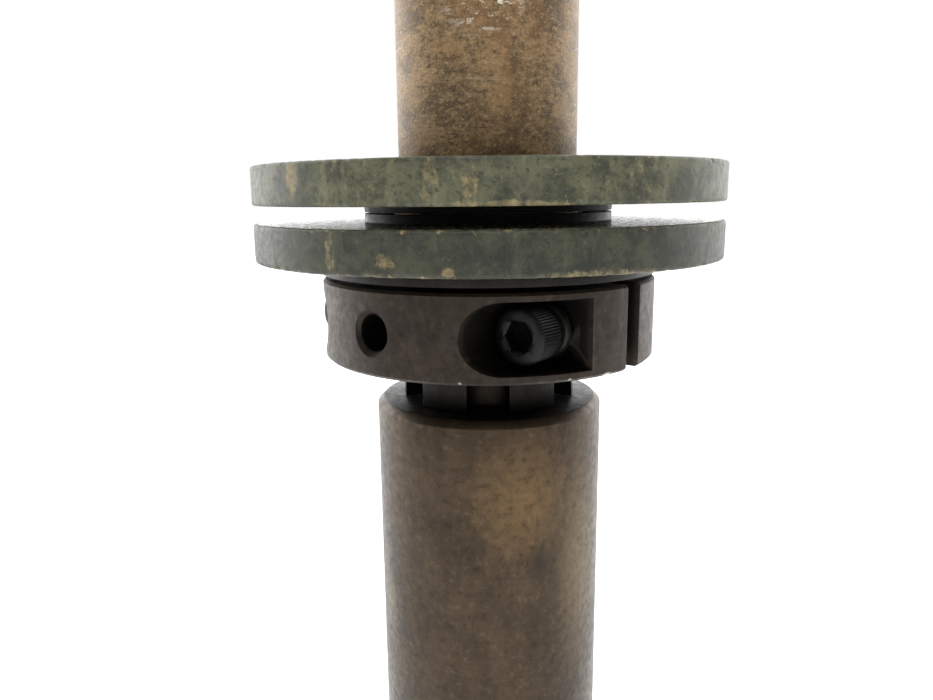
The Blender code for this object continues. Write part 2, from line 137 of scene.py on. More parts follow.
class Turning:
    """A piece turned about Z: a ring of points drawn out step by step along a profile."""

    def __init__(self, name, radius, z, sides):
        nothing_selected()
        bpy.ops.mesh.primitive_circle_add(
            vertices=sides, radius=radius, location=(0, 0, z), fill_type="NOTHING"
        )
        self.ob = bpy.context.object
        self.ob.name = name
        self.radius = radius
        self.z = z
        bpy.ops.object.transform_apply(location=True)
        bpy.ops.object.mode_set(mode="EDIT")
        bpy.ops.mesh.select_all(action="SELECT")

    def to(self, radius, z):
        """Draw the open ring out to a new radius and height."""
        bpy.ops.mesh.extrude_region_move(
            TRANSFORM_OT_translate={"value": (0, 0, z - self.z)}
        )
        factor = radius / self.radius
        if abs(factor - 1) > 1e-9:
            bpy.ops.transform.resize(value=(factor, factor, 1), center_override=(0, 0, z))
        self.radius = radius
        self.z = z
        return self

    def along(self, profile):
        """Draw the ring along several (radius, height) points."""
        for radius, z in profile:
            self.to(radius, z)
        return self

    def capped(self):
        """Close the ring with a flat face."""
        bpy.ops.mesh.edge_face_add()
        return self

    def cap_start(self):
        """Close the ring that the turning began with."""
        bpy.ops.mesh.select_all(action="DESELECT")
        bpy.ops.mesh.select_mode(type="EDGE")
        bpy.ops.mesh.select_non_manifold()
        bpy.ops.mesh.edge_face_add()
        return self

    def joined(self):
        """Weld a profile that has come back to its first ring."""
        bpy.ops.mesh.select_all(action="SELECT")
        bpy.ops.mesh.remove_doubles(threshold=1e-6)
        return self

    def finished(self):
        """Point the faces outwards and leave edit mode."""
        bpy.ops.mesh.select_all(action="SELECT")
        bpy.ops.mesh.normals_make_consistent(inside=False)
        bpy.ops.object.mode_set(mode="OBJECT")
        return self.ob


def ease_edges(ob, width, segments=2, angle=30):
    """Round the sharp edges a little."""
    hold(ob)
    step = ob.modifiers.new("eased edges", "BEVEL")
    step.width = width
    step.segments = segments
    step.limit_method = "ANGLE"
    step.angle_limit = math.radians(angle)
    step.use_clamp_overlap = True
    bpy.ops.object.modifier_apply(modifier=step.name)


def smooth(ob, angle=32):
    """Smooth shading, broken at real edges."""
    hold(ob)
    bpy.ops.object.shade_smooth_by_angle(angle=math.radians(angle))


def box_between(name, low, high):
    """A box between two corners, as a cutting tool."""
    nothing_selected()
    low, high = Vector(low), Vector(high)
    bpy.ops.mesh.primitive_cube_add(size=1, location=(low + high) / 2)
    ob = bpy.context.object
    ob.name = name
    ob.scale = high - low
    rest_in_place(ob)
    return ob


def drill(name, radius, start, end, sides=64, far_radius=None):
    """A round cutting tool between two points."""
    nothing_selected()
    start, end = Vector(start), Vector(end)
    bpy.ops.mesh.primitive_cone_add(
        vertices=sides,
        radius1=radius,
        radius2=radius if far_radius is None else far_radius,
        depth=(end - start).length,
        location=(start + end) / 2,
    )
    ob = bpy.context.object
    ob.name = name
    ob.rotation_euler = (end - start).to_track_quat("Z", "Y").to_euler()
    rest_in_place(ob)
    return ob


def cut(ob, tool, operation="DIFFERENCE"):
    """Cut a tool from a piece, or join it on, and clear the tool away."""
    hold(ob)
    step = ob.modifiers.new("cut", "BOOLEAN")
    step.object = tool
    step.operation = operation
    step.solver = "EXACT"
    bpy.ops.object.modifier_apply(modifier=step.name)
    bpy.data.objects.remove(tool, do_unlink=True)


def turned_about_z(ob, angle):
    """Turn a finished tool about the shaft axis."""
    ob.rotation_euler = (0, 0, angle)
    rest_in_place(ob)
    return ob


# ---------------------------------------------------------------- the two shafts
def make_output_shaft():
    """Thick shaft with a bevelled shoulder and a journal, centre-drilled below."""
    edge = 1.3 * MM
    work = Turning("output_shaft_turned", 1.6 * MM, 6.0 * MM, 160)
    work.along([
        (3.2 * MM, 0.4 * MM),
        (3.6 * MM, 0.0),
        (SHAFT_OUT_R - 1.0 * MM, 0.0),
        (SHAFT_OUT_R, 1.0 * MM),
        (SHAFT_OUT_R, 28.0 * MM),
        (SHAFT_OUT_R, 56.0 * MM),
        (SHAFT_OUT_R, SHOULDER_Z - edge),
        (SHAFT_OUT_R - edge, SHOULDER_Z),
        (JOURNAL_R + 0.5 * MM, SHOULDER_Z),
        (JOURNAL_R, SHOULDER_Z + 0.5 * MM),
        (JOURNAL_R, JOURNAL_TOP - 1.0 * MM),
        (JOURNAL_R - 1.0 * MM, JOURNAL_TOP),
    ])
    ob = work.capped().cap_start().finished()
    ease_edges(ob, 0.12 * MM)
    smooth(ob)
    return ob


def make_input_shaft():
    """Plain round shaft with a centre-drilled upper end."""
    low, top = SHAFT_IN
    work = Turning("input_shaft_turned", 1.6 * MM, top - 6.0 * MM, 160)
    work.along([
        (3.2 * MM, top - 0.4 * MM),
        (3.6 * MM, top),
        (SHAFT_IN_R - 1.0 * MM, top),
        (SHAFT_IN_R, top - 1.0 * MM),
        (SHAFT_IN_R, top - 16.0 * MM),
        (SHAFT_IN_R, top - 32.0 * MM),
        (SHAFT_IN_R, low),
    ])
    ob = work.capped().cap_start().finished()
    ease_edges(ob, 0.12 * MM)
    smooth(ob)
    return ob


# ---------------------------------------------------------------- flanges
def knocked_edges(ob, radius, low, top, seed):
    """Dent and chip the two rim edges of a flange, deeper in a few places."""
    half = (top - low) / 2
    middle = (top + low) / 2
    reach = 0.9 * MM
    for vert in ob.data.vertices:
        co = vert.co
        r = math.hypot(co.x, co.y)
        to_corner = math.hypot(max(radius - r, 0), max(half - abs(co.z - middle), 0))
        if to_corner > reach:
            continue
        near = 1 - to_corner / reach
        side = 1 if co.z > middle else -1
        turn = math.atan2(co.y, co.x)
        spot = Vector((math.cos(turn), math.sin(turn), 0)) * 24 + Vector((0, 0, side * 7 + seed))
        chip = max(noise.noise(spot * 1.9) - 0.24, 0) * 0.9 * MM
        fine = (noise.noise(spot * 5.0) + 0.4) * 0.05 * MM
        depth = max(chip + fine, 0) * near
        co.x -= math.cos(turn) * depth
        co.y -= math.sin(turn) * depth
        co.z -= side * depth * 0.8


def make_flange(name, span, bore_r, seed):
    """Flat ring with a worn rim: fine steps near both edges take the chips."""
    low, top = span
    edge = 0.45 * MM
    fine = 0.3 * MM
    work = Turning(name, bore_r, top, 360)
    work.along([
        (FLANGE_R - 9 * MM, top),
        (FLANGE_R - edge - 2 * fine, top),
        (FLANGE_R - edge, top),
        (FLANGE_R - 0.3 * edge, top - 0.3 * edge),
        (FLANGE_R, top - edge),
        (FLANGE_R, top - edge - fine),
        (FLANGE_R, top - edge - 3 * fine),
        (FLANGE_R, low + edge + 3 * fine),
        (FLANGE_R, low + edge + fine),
        (FLANGE_R, low + edge),
        (FLANGE_R - 0.3 * edge, low + 0.3 * edge),
        (FLANGE_R - edge, low),
        (FLANGE_R - edge - 2 * fine, low),
        (FLANGE_R - 9 * MM, low),
        (bore_r, low),
        (bore_r, top),
    ])
    ob = work.joined().finished()
    knocked_edges(ob, FLANGE_R, low, top, seed)
    smooth(ob, 50)
    return ob


def upright_axis(node):
    """Where the axis of an upright pin or screw stands, and its largest radius."""
    low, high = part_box(node)
    return (low[0] + high[0]) / 2, (low[1] + high[1]) / 2, (high[0] - low[0]) / 2


def make_input_flange():
    """Upper flange, with the seats of the two seam pins drilled into its bore."""
    ob = make_flange("input_flange_worn", FLANGE_IN, BOSS_R, 8.6)
    for node in FLANGE_PINS:
        x, y, r = upright_axis(node)
        low, top = span_z(node)
        start, end = (x, y, low - PIN_END_GAP), (x, y, top + MM)
        cut(ob, drill("pin seat", r + FINE_GAP, start, end, PIN_SIDES))
    smooth(ob, 50)
    return ob


# ---------------------------------------------------------------- hubs
def make_output_hub():
    """Boss, shoulder ring and slotted sleeve, with the recess and lower keyway inside."""
    floor = DISC_MID - RECESS_DEPTH
    ring_top = FLANGE_OUT[0] - FINE_GAP
    work = Turning("output_hub_turned", RECESS_R, floor, 192)
    work.along([
        (RECESS_R, BOSS_OUT_TOP),
        (BOSS_R - FINE_GAP, BOSS_OUT_TOP),
        (BOSS_R - FINE_GAP, ring_top),
        (RING_R, ring_top),
        (RING_R, RING_LOW),
        (SLEEVE_R, RING_LOW),
        (SLEEVE_R, SLEEVE_BOTTOM),
        (SLEEVE_BORE_R, SLEEVE_BOTTOM),
        (SLEEVE_BORE_R, SLEEVE_BORE_TOP),
    ])
    ob = work.capped().cap_start().finished()
    cut(ob, box_between(
        "keyway",
        (-KEYWAY_HALF_W, -KEYWAY_HALF_L, DISC_MID - KEYWAY_DEPTH),
        (KEYWAY_HALF_W, KEYWAY_HALF_L, BOSS_OUT_TOP + 5 * MM),
    ))
    for i in range(SLOT_COUNT):
        slot = box_between(
            "slot",
            (-SLOT_WIDTH / 2, -SLEEVE_R - 5 * MM, SLEEVE_BOTTOM - 5 * MM),
            (SLOT_WIDTH / 2, -SLEEVE_BORE_R / 2, SLOT_TOP),
        )
        cut(ob, turned_about_z(slot, SLOT_TURN + i * 2 * math.pi / SLOT_COUNT))
    ease_edges(ob, 0.2 * MM)
    smooth(ob)
    return ob


def make_input_hub():
    """Core of the input half: register above, recess and upper keyway below."""
    top = FLANGE_IN[1]
    roof = DISC_MID + RECESS_DEPTH
    work = Turning("input_hub_turned", SHAFT_IN_R + FINE_GAP, REGISTER_Z, 192)
    work.along([
        (SHAFT_IN_R + FINE_GAP, top),
        (BOSS_R - FINE_GAP, top),
        (BOSS_R - FINE_GAP, BOSS_IN_LOW),
        (RECESS_R, BOSS_IN_LOW),
        (RECESS_R, roof),
    ])
    ob = work.capped().cap_start().finished()
    cut(ob, box_between(
        "keyway",
        (-KEYWAY_HALF_L, -KEYWAY_HALF_W, BOSS_IN_LOW - 5 * MM),
        (KEYWAY_HALF_L, KEYWAY_HALF_W, DISC_MID + KEYWAY_DEPTH),
    ))
    for node in HUB_SCREWS:
        x, y, _ = upright_axis(node)
        start, end = (x, y, roof - 0.2 * MM), (x, y, roof + 2.6 * MM)
        cut(ob, drill("sink", SINK_MOUTH_R, start, end, PIN_SIDES, SINK_FOOT_R))
        cut(ob, drill("way", HUB_SCREW_WAY_R, (x, y, roof), (x, y, top + MM), PIN_SIDES))
    for node in DOWELS + FLANGE_PINS:
        x, y, r = upright_axis(node)
        base = span_z(node)[0] - PIN_END_GAP if node in FLANGE_PINS else roof - MM
        cut(ob, drill("pin hole", r + FINE_GAP, (x, y, base), (x, y, top + MM), PIN_SIDES))
    ease_edges(ob, 0.15 * MM)
    smooth(ob)
    return ob


# ---------------------------------------------------------------- clamp collar
def collar_blank(name):
    """The collar before it is split, with both outer edges chamfered."""
    bore = SLEEVE_R + FINE_GAP
    chamfer = 0.5 * MM
    work = Turning(name, bore, COLLAR_TOP, 240)
    work.along([
        (COLLAR_R - chamfer, COLLAR_TOP),
        (COLLAR_R, COLLAR_TOP - chamfer),
        (COLLAR_R, COLLAR_LOW + chamfer),
        (COLLAR_R - chamfer, COLLAR_LOW),
        (bore, COLLAR_LOW),
        (bore, COLLAR_TOP),
    ])
    return work.joined().finished()


def make_collar_front():
    """Front half: two milled screw pockets, two clearance holes and the bar hole."""
    reach = COLLAR_R + 5 * MM
    ob = collar_blank("collar_front_milled")
    cut(ob, box_between(
        "split", (-reach, -SLIT_HALF, COLLAR_LOW - MM), (reach, reach, COLLAR_TOP + MM)
    ))
    for side in (-1, 1):
        x = side * SCREW_X
        pocket = drill("pocket", POCKET_R, (x, -SEAT_Y, COLLAR_MID), (x, -reach, COLLAR_MID), 96)
        mouth = box_between(
            "mouth",
            (min(x, side * reach), -reach, COLLAR_MID - POCKET_R),
            (max(x, side * reach), -SEAT_Y, COLLAR_MID + POCKET_R),
        )
        cut(pocket, mouth, "UNION")
        cut(ob, pocket)
        cut(ob, drill("way", SCREW_HOLE_R, (x, 0, COLLAR_MID), (x, -reach, COLLAR_MID)))
    ease_edges(ob, 0.18 * MM)
    cut(ob, drill("bar hole", TOMMY_R, (0, 0, COLLAR_MID), (0, -reach, COLLAR_MID), 96))
    cut(ob, drill(
        "bar hole mouth",
        TOMMY_R,
        (0, -COLLAR_R + MM, COLLAR_MID),
        (0, -COLLAR_R - MM, COLLAR_MID),
        96,
        2 * TOMMY_MOUTH_R - TOMMY_R,
    ))
    smooth(ob)
    return ob


def make_collar_rear():
    """Rear half: two tapped holes that come out at the back."""
    reach = COLLAR_R + 5 * MM
    ob = collar_blank("collar_rear_milled")
    cut(ob, box_between(
        "split", (-reach, -reach, COLLAR_LOW - MM), (reach, SLIT_HALF, COLLAR_TOP + MM)
    ))
    for side in (-1, 1):
        x = side * SCREW_X
        start, end = (x, 0, COLLAR_MID), (x, reach, COLLAR_MID)
        cut(ob, drill("tapped hole", SCREW_HOLE_R - 0.2 * MM, start, end))
    ease_edges(ob, 0.18 * MM)
    smooth(ob)
    return ob


# ---------------------------------------------------------------- clamp screws and washers
def hexagon_radius(angle, across_flats):
    """Distance from the middle of a hexagon to its side, in one direction."""
    sixth = math.pi / 3
    inside = (angle % sixth) - sixth / 2
    return across_flats / 2 / math.cos(inside)


def make_clamp_screw(name, node):
    """Socket head cap screw: knurled head, key socket and threaded shank."""
    low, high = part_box(node)
    length = high[1] - low[1]
    head_r = (high[0] - low[0]) / 2
    head_h = 6.0 * MM
    shank_r = 3.0 * MM
    root_r = 2.5 * MM
    socket_af = 5.0 * MM
    socket_h = 3.0 * MM
    top = head_h
    sides = 120
    work = Turning(name, 0.3 * MM, top - socket_h - 1.0 * MM, sides)
    work.along([
        (2.4 * MM, top - socket_h),
        (2.4 * MM, top - 0.3 * MM),
        (3.05 * MM, top),
        (head_r - 0.75 * MM, top),
        (head_r - 0.35 * MM, top - 0.15 * MM),
        (head_r - 0.05 * MM, top - 0.55 * MM),
    ])
    rows = 7
    band = (head_h - 1.5 * MM) / rows
    z = top - 0.65 * MM
    for _ in range(rows):
        work.along([
            (head_r, z),
            (head_r, z - 0.78 * band),
            (head_r - 0.1 * MM, z - 0.84 * band),
            (head_r - 0.1 * MM, z - 0.96 * band),
        ])
        z -= band
    work.along([
        (head_r - 0.04 * MM, 0.7 * MM),
        (head_r - 0.12 * MM, 0.25 * MM),
        (head_r - 0.4 * MM, 0.0),
        (shank_r + 0.2 * MM, 0.0),
        (shank_r, -0.3 * MM),
        (shank_r, -7.0 * MM),
    ])
    pitch = 1.0 * MM
    z = -7.0 * MM
    tip = head_h - length
    while z - pitch > tip + 0.8 * MM:
        work.along([
            (root_r, z - 0.42 * pitch),
            (root_r, z - 0.55 * pitch),
            (shank_r, z - 0.92 * pitch),
            (shank_r, z - pitch),
        ])
        z -= pitch
    work.along([(root_r, tip + 0.4 * MM), (root_r - 0.5 * MM, tip)])
    ob = work.capped().cap_start().finished()

    socket_floor = top - socket_h - 0.01 * MM
    knurl_low, knurl_top = 0.6 * MM, top - 0.6 * MM
    for vert in ob.data.vertices:
        r = math.hypot(vert.co.x, vert.co.y)
        turn = math.atan2(vert.co.y, vert.co.x)
        if socket_floor < vert.co.z < top - 0.2 * MM and 2.3 * MM < r < 2.5 * MM:
            new_r = hexagon_radius(turn, socket_af)
        elif knurl_low < vert.co.z < knurl_top and r > head_r - 0.06 * MM:
            tooth = round(turn / (2 * math.pi) * sides) % 2
            new_r = r - tooth * 0.24 * MM
        else:
            continue
        vert.co.x = math.cos(turn) * new_r
        vert.co.y = math.sin(turn) * new_r

    centre_x = (low[0] + high[0]) / 2
    ob.rotation_euler = (math.pi / 2, 0, 0)
    ob.location = (centre_x, low[1] + head_h, COLLAR_MID)
    rest_in_place(ob)
    smooth(ob, 34)
    return ob


def make_washer(name, node):
    """Punched washer: one rounded edge and one sharper edge."""
    low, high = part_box(node)
    thick = high[1] - low[1]
    radius = (high[0] - low[0]) / 2
    bore = 3.2 * MM
    work = Turning(name, bore, thick, 96)
    work.along([
        (radius - 0.45 * MM, thick),
        (radius - 0.13 * MM, thick - 0.13 * MM),
        (radius, thick - 0.45 * MM),
        (radius, 0.1 * MM),
        (radius - 0.1 * MM, 0.0),
        (bore, 0.0),
        (bore, thick),
    ])
    ob = work.joined().finished()
    ob.rotation_euler = (math.pi / 2, 0, 0)
    ob.location = ((low[0] + high[0]) / 2, high[1], COLLAR_MID)
    rest_in_place(ob)
    smooth(ob)
    return ob


# ---------------------------------------------------------------- finishes
class Finish:
    """A material built from nodes, with short names for the steps that repeat."""

    def __init__(self, name):
        self.mat = bpy.data.materials.new(name)
        self.mat.use_nodes = True
        self.tree = self.mat.node_tree
        self.shader = self.tree.nodes["Principled BSDF"]
        self.coords = self.tree.nodes.new("ShaderNodeTexCoord").outputs["Object"]
        self.normal = None

    def node(self, kind, **settings):
        made = self.tree.nodes.new(kind)
        for key, value in settings.items():
            setattr(made, key, value)
        return made

    def link(self, out, socket):
        self.tree.links.new(out, socket)

    def put(self, value, socket):
        """A number, a colour or another node's output into a socket."""
        if isinstance(value, bpy.types.NodeSocket):
            self.link(value, socket)
        else:
            socket.default_value = value

    def stretched(self, scale, turn=(0, 0, 0), move=(0, 0, 0)):
        """Object coordinates, scaled and turned."""
        mapping = self.node("ShaderNodeMapping")
        self.link(self.coords, mapping.inputs["Vector"])
        mapping.inputs["Scale"].default_value = scale
        mapping.inputs["Rotation"].default_value = turn
        mapping.inputs["Location"].default_value = move
        return mapping.outputs["Vector"]

    def lathe_coords(self):
        """Coordinates whose patterns run round the piece, then its radius and height."""
        parts = self.node("ShaderNodeSeparateXYZ")
        self.link(self.coords, parts.inputs["Vector"])
        x, y, z = parts.outputs["X"], parts.outputs["Y"], parts.outputs["Z"]
        square = self.maths("ADD", self.maths("MULTIPLY", x, x), self.maths("MULTIPLY", y, y))
        radius = self.maths("SQRT", square)
        joined = self.node("ShaderNodeCombineXYZ")
        self.link(radius, joined.inputs["X"])
        self.link(z, joined.inputs["Z"])
        return joined.outputs["Vector"], radius, z

    def maths(self, operation, a, b=0.0, clamp=False):
        made = self.node("ShaderNodeMath", operation=operation, use_clamp=clamp)
        self.put(a, made.inputs[0])
        self.put(b, made.inputs[1])
        return made.outputs[0]

    def noise(self, vector, scale, detail=4.0, rough=0.55, warp=0.0):
        made = self.node("ShaderNodeTexNoise")
        self.link(vector, made.inputs["Vector"])
        made.inputs["Scale"].default_value = scale
        made.inputs["Detail"].default_value = detail
        made.inputs["Roughness"].default_value = rough
        made.inputs["Distortion"].default_value = warp
        return made.outputs["Fac"]

    def between(self, value, low, high, to_low=0.0, to_high=1.0, curve="SMOOTHSTEP"):
        """Map a range to another, with eased ends."""
        made = self.node("ShaderNodeMapRange", interpolation_type=curve)
        self.put(value, made.inputs["Value"])
        made.inputs["From Min"].default_value = low
        made.inputs["From Max"].default_value = high
        made.inputs["To Min"].default_value = to_low
        made.inputs["To Max"].default_value = to_high
        return made.outputs["Result"]

    def mixed(self, factor, a, b):
        """Blend two colours."""
        made = self.node("ShaderNodeMix", data_type="RGBA")
        self.put(factor, made.inputs[0])
        self.put(a if isinstance(a, bpy.types.NodeSocket) else (*a, 1), made.inputs[6])
        self.put(b if isinstance(b, bpy.types.NodeSocket) else (*b, 1), made.inputs[7])
        return made.outputs[2]

    def near(self, centre, size, soft=0.35):
        """One inside an ellipsoid, fading to zero outside it."""
        moved = self.node("ShaderNodeVectorMath", operation="SUBTRACT")
        self.link(self.coords, moved.inputs[0])
        moved.inputs[1].default_value = centre
        scaled = self.node("ShaderNodeVectorMath", operation="DIVIDE")
        self.link(moved.outputs[0], scaled.inputs[0])
        scaled.inputs[1].default_value = size
        length = self.node("ShaderNodeVectorMath", operation="LENGTH")
        self.link(scaled.outputs[0], length.inputs[0])
        return self.between(length.outputs["Value"], 1.0, soft)

    def bump(self, height, distance, strength=1.0):
        made = self.node("ShaderNodeBump")
        self.link(height, made.inputs["Height"])
        made.inputs["Distance"].default_value = distance
        made.inputs["Strength"].default_value = strength
        if self.normal is not None:
            self.link(self.normal, made.inputs["Normal"])
        self.normal = made.outputs["Normal"]
        self.link(self.normal, self.shader.inputs["Normal"])

    def done(self, colour, roughness, metallic, specular=0.5):
        self.put(colour, self.shader.inputs["Base Color"])
        self.put(roughness, self.shader.inputs["Roughness"])
        self.put(metallic, self.shader.inputs["Metallic"])
        self.shader.inputs["Specular IOR Level"].default_value = specular
        return self.mat


def round_about(radius, degrees, z):
    """A point on a cylinder: degrees from -Y towards +X."""
    turn = math.radians(degrees)
    return (radius * math.sin(turn), -radius * math.cos(turn), z)


def rusted_shaft_finish():
    """Bare shaft gone brown: small dark spots, tan stains, round scratches and pale specks."""
    f = Finish("rusted shaft")
    big = f.noise(f.stretched((1, 1, 1.5)), 130, 7, 0.68, 0.3)
    small = f.noise(f.stretched((1, 1, 1.6)), 760, 5, 0.7)
    grit = f.noise(f.stretched((1, 1, 1.2)), 2300, 3, 0.7)
    scratch = f.noise(f.stretched((1, 1, 34)), 46, 4, 0.62)
    short_mark = f.noise(f.stretched((1, 1, 9)), 240, 3, 0.6)
    base = f.mixed(f.between(big, 0.38, 0.60), (0.100, 0.063, 0.030), (0.225, 0.145, 0.068))
    base = f.mixed(f.between(small, 0.50, 0.68, 0, 0.75), base, (0.33, 0.235, 0.125))
    base = f.mixed(f.between(small, 0.48, 0.36, 0, 0.8), base, (0.044, 0.030, 0.019))
    base = f.mixed(f.between(grit, 0.46, 0.34, 0, 0.7), base, (0.035, 0.026, 0.018))
    base = f.mixed(f.between(grit, 0.58, 0.68, 0, 0.6), base, (0.42, 0.32, 0.18))
    stain = f.noise(f.stretched((1, 1, 0.5), move=(0.3, 0, 0)), 60, 5, 0.65, 0.5)
    base = f.mixed(f.between(stain, 0.52, 0.70, 0, 0.55), base, (0.27, 0.145, 0.055))
    base = f.mixed(f.between(scratch, 0.60, 0.72, 0, 0.5), base, (0.36, 0.29, 0.21))
    base = f.mixed(f.between(short_mark, 0.33, 0.26, 0, 0.8), base, (0.028, 0.020, 0.017))
    pale = f.noise(f.stretched((1, 1, 2.2), move=(0, 0.7, 0)), 300, 4, 0.7)
    fleck_at = f.near(round_about(SHAFT_IN_R, 37, 0.157), (10 * MM, 10 * MM, 12 * MM), 0.2)
    pale_mask = f.maths("MULTIPLY", f.between(pale, 0.545, 0.60), fleck_at)
    base = f.mixed(f.maths("MULTIPLY", pale_mask, 0.9), base, (0.78, 0.74, 0.62))
    rough = f.between(small, 0.3, 0.7, 0.42, 0.66)
    f.bump(big, 0.00010, 0.5)
    f.bump(small, 0.00007, 0.8)
    f.bump(short_mark, 0.00004, 0.6)
    return f.done(base, rough, 0.35, 0.4)


def green_paint_finish(name, span, spots, dark, light, edge_wear):
    """Old green paint, blotched, worn to ochre at the edges, with a painted pale reflection on the flat
    faces.
    """
    f = Finish(name)
    low, top = span
    _, radius, z = f.lathe_coords()
    blotch = f.noise(f.coords, 210, 7, 0.72, 0.3)
    fine = f.noise(f.coords, 900, 4, 0.7)
    streak = f.noise(f.stretched((1, 1, 0.22)), 300, 4, 0.65)
    base = f.mixed(f.between(blotch, 0.38, 0.62), dark, light)
    base = f.mixed(f.between(streak, 0.52, 0.78, 0, 0.45), base, tuple(c * 2.0 for c in light))
    base = f.mixed(f.between(fine, 0.47, 0.34, 0, 0.7), base, tuple(c * 0.5 for c in dark))
    base = f.mixed(f.between(fine, 0.58, 0.70, 0, 0.5), base, tuple(c * 2.0 for c in light))
    # how near the nearer rim edge a point is
    half = (top - low) / 2
    from_middle = f.maths("ABSOLUTE", f.maths("SUBTRACT", z, (top + low) / 2))
    up = f.between(from_middle, half - 1.3 * MM, half - 0.1 * MM)
    out = f.between(radius, FLANGE_R - 1.6 * MM, FLANGE_R - 0.2 * MM)
    edge = f.maths("MULTIPLY", up, out)
    bite = f.noise(f.coords, 620, 6, 0.75, 0.3)
    bare = f.between(f.maths("ADD", bite, f.maths("MULTIPLY", edge, edge_wear)), 0.70, 0.80)
    rub = None
    for centre, size, amount in spots:
        patch = f.maths("MULTIPLY", f.near(centre, size), amount)
        rub = patch if rub is None else f.maths("MAXIMUM", rub, patch)
    grain = f.noise(f.stretched((1, 1, 0.6), move=(0.1, 0.2, 0)), 560, 6, 0.76, 0.3)
    rubbed = f.between(f.maths("ADD", grain, f.maths("MULTIPLY", rub, 0.26)), 0.66, 0.86)
    ochre = f.mixed(f.between(fine, 0.35, 0.65), (0.13, 0.100, 0.042), (0.28, 0.215, 0.100))
    base = f.mixed(f.maths("MULTIPLY", rubbed, 0.62), base, ochre)
    base = f.mixed(f.maths("MULTIPLY", bare, 0.85), base, ochre)
    # painted reflection: the flat faces are mixed towards a paler colour that stands in for back light
    # caught at a grazing angle; they are also made smoother
    flat = f.between(from_middle, half - 0.06 * MM, half - 0.02 * MM)
    flat = f.maths("MULTIPLY", flat, f.between(radius, FLANGE_R - 0.3 * MM, FLANGE_R - 1.2 * MM))
    painted_grazing_sheen = f.mixed(f.between(blotch, 0.35, 0.65), (0.085, 0.085, 0.055), (0.21, 0.205, 0.14))
    base = f.mixed(f.maths("MULTIPLY", flat, 0.85), base, painted_grazing_sheen)
    rough = f.between(fine, 0.3, 0.7, 0.44, 0.62)
    rough = f.maths("SUBTRACT", rough, f.maths("MULTIPLY", flat, 0.30))
    f.bump(blotch, 0.0001, 0.4)
    f.bump(fine, 0.00005, 0.6)
    f.bump(f.maths("SUBTRACT", 1.0, f.maths("MAXIMUM", bare, rubbed)), 0.00004, 0.7)
    return f.done(base, rough, 0.0, 0.38)


def turned_steel_finish(
    name, dark, light, stains=(), rough=(0.34, 0.50), shade_inside_radius=None, shine=0.5
):
    """Browned steel: fine tool lines round it, small mottling, pale specks and stains, with painted
    shade darkening the faces that lie inside a given radius.
    """
    f = Finish(name)
    lathe, radius, _ = f.lathe_coords()
    tool = f.noise(lathe, 3000, 3, 0.7)
    band = f.noise(lathe, 420, 3, 0.6)
    cloud = f.noise(f.stretched((1, 1, 0.6)), 100, 8, 0.76, 0.1)
    mottle = f.noise(f.coords, 620, 5, 0.72)
    speck = f.noise(f.coords, 1900, 3, 0.7)
    deep = tuple(c * 0.5 for c in dark)
    pale = tuple(min(c * 1.9, 1) for c in light)
    base = f.mixed(f.between(cloud, 0.30, 0.70), dark, light)
    base = f.mixed(f.between(mottle, 0.52, 0.74, 0, 0.45), base, pale)
    base = f.mixed(f.between(mottle, 0.46, 0.32, 0, 0.5), base, deep)
    base = f.mixed(f.between(band, 0.42, 0.25, 0, 0.35), base, deep)
    base = f.mixed(f.between(tool, 0.55, 0.80, 0, 0.25), base, pale)
    base = f.mixed(f.between(speck, 0.68, 0.78, 0, 0.6), base, pale)
    for centre, size, colour, amount in stains:
        edge = f.maths("MULTIPLY", f.near(centre, size, 0.0), f.between(mottle, 0.12, 0.62))
        base = f.mixed(f.maths("MULTIPLY", edge, amount), base, colour)
    # painted shade: end faces, chamfers and bores inside the given radius are darkened towards near
    # black
    if shade_inside_radius is not None:
        inside = f.between(radius, shade_inside_radius - 0.3 * MM, shade_inside_radius - 1.6 * MM)
        base = f.mixed(f.maths("MULTIPLY", inside, 0.8), base, tuple(c * 0.4 for c in deep))
    f.bump(tool, 0.00002, 0.5)
    f.bump(mottle, 0.00004, 0.35)
    return f.done(base, f.between(mottle, 0.3, 0.7, rough[1], rough[0]), 0.7, shine)


def black_finish(name, colour, rough=(0.32, 0.5), metal=0.5, shaded_sockets=()):
    """Black oxide: nearly black, with a little brown dust and worn points, and painted shade in the key
    sockets.
    """
    f = Finish(name)
    dust = f.noise(f.coords, 500, 4, 0.65)
    fine = f.noise(f.coords, 2400, 3, 0.6)
    base = f.mixed(f.between(dust, 0.55, 0.78, 0, 0.4), colour, tuple(c * 2.6 for c in colour))
    rub = f.between(fine, 0.62, 0.74, 0, 0.35)
    base = f.mixed(rub, base, tuple(c * 6 for c in colour))
    roughness = f.between(dust, 0.3, 0.7, rough[0], rough[1])
    # painted shade: the key sockets are darkened to near black and made rough
    for centre, size in shaded_sockets:
        deep = f.near(centre, size, 0.85)
        base = f.mixed(deep, base, (0.0012, 0.0012, 0.0012))
        roughness = f.maths("MAXIMUM", roughness, f.maths("MULTIPLY", deep, 0.95))
    f.bump(fine, 0.00002, 0.6)
    return f.done(base, roughness, metal, 0.4)


def bronze_finish():
    """Oily bearing bronze with machining lines."""
    f = Finish("oily bronze")
    lathe, _, _ = f.lathe_coords()
    tool = f.noise(lathe, 2400, 3, 0.7)
    oil = f.noise(f.coords, 160, 4, 0.6, 0.5)
    base = f.mixed(f.between(oil, 0.35, 0.65), (0.030, 0.020, 0.011), (0.16, 0.105, 0.048))
    base = f.mixed(f.between(tool, 0.5, 0.8, 0, 0.3), base, (0.26, 0.18, 0.085))
    f.bump(tool, 0.00002, 0.7)
    return f.done(base, f.between(oil, 0.3, 0.7, 0.22, 0.42), 0.9, 0.5)


